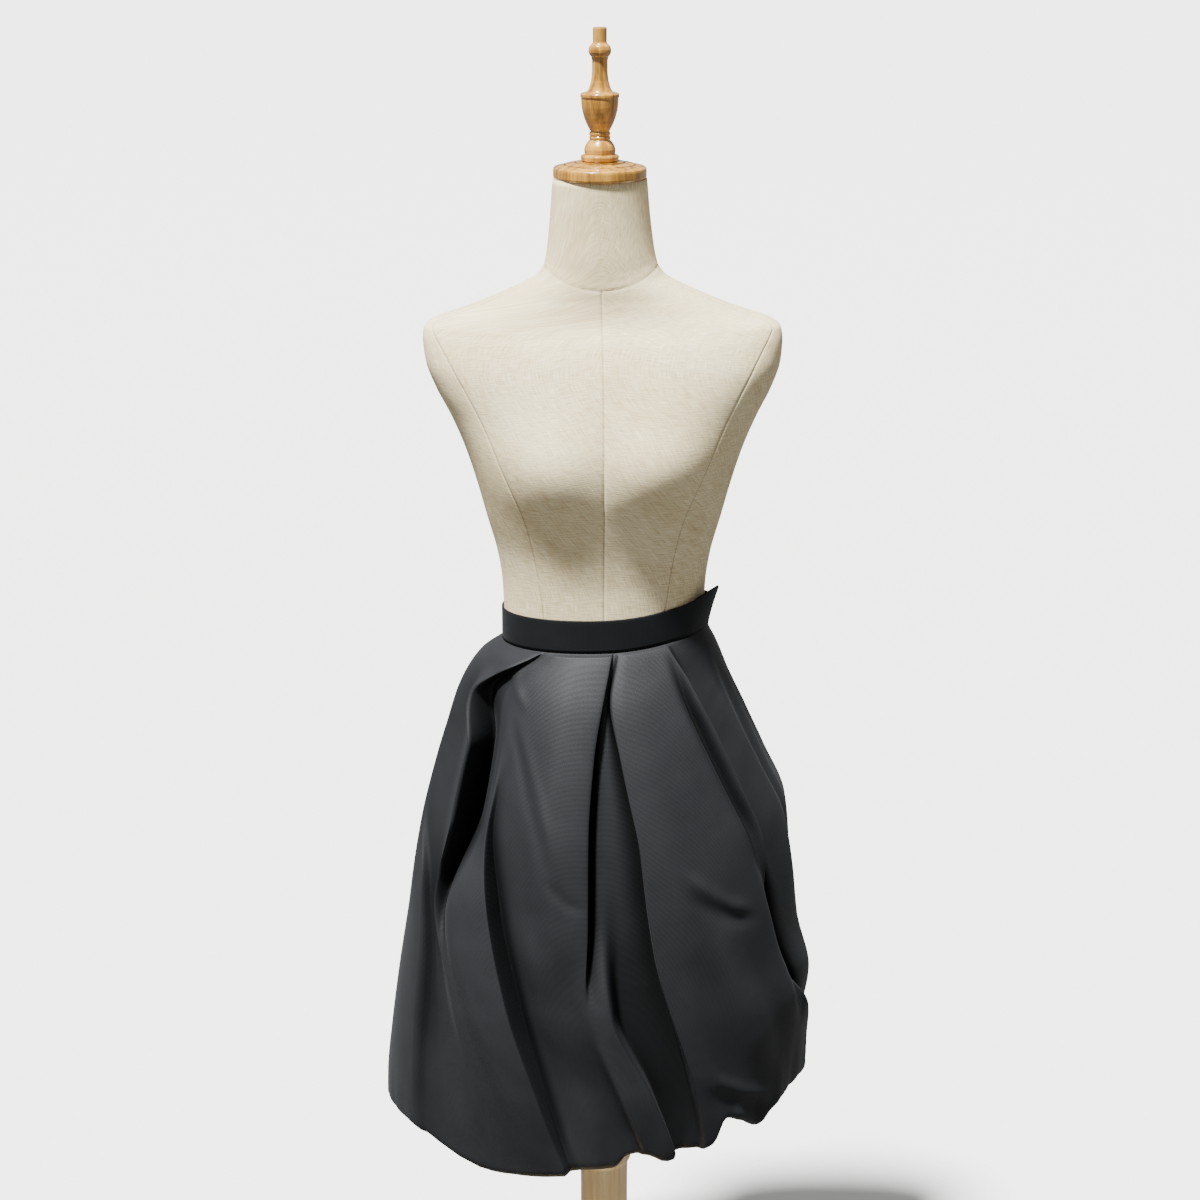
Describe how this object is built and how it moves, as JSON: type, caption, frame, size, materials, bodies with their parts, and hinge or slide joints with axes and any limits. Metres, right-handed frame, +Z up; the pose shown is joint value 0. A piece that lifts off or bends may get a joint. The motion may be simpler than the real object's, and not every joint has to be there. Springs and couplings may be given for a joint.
{
  "type": "balloon skirt on a dress form",
  "caption": "Full skirt with pleated folds, a plain waistband and a gathered, turned-under hem, worn on a limbless padded dress form on a turned wooden stand.",
  "frame": {"origin": "middle of the underside of the stand's round base", "axes": "+Z up along the pole, -Y out of the centre front, +X towards the wearer's left side, which is the right of the front view"},
  "size_m": [0.514, 0.4071, 1.6755],
  "materials": {
    "skirt_cloth": "black, finely ribbed, with a faint satin sheen",
    "waistband_cloth": "black, finely ribbed, with a faint satin sheen",
    "form_cloth": "natural linen, matt and slubby",
    "varnished_wood": "golden varnish, glossy",
    "pale_wood": "pale, satin lacquer"
  },
  "bodies": {
    "root": {"skirt_front": "skirt_cloth", "skirt_back": "skirt_cloth", "waistband": "waistband_cloth", "form_torso": "form_cloth", "neck_cap": "varnished_wood", "finial": "varnished_wood", "hip_plate": "pale_wood", "pole": "pale_wood", "stand_base": "pale_wood"}
  },
  "joints": []
}
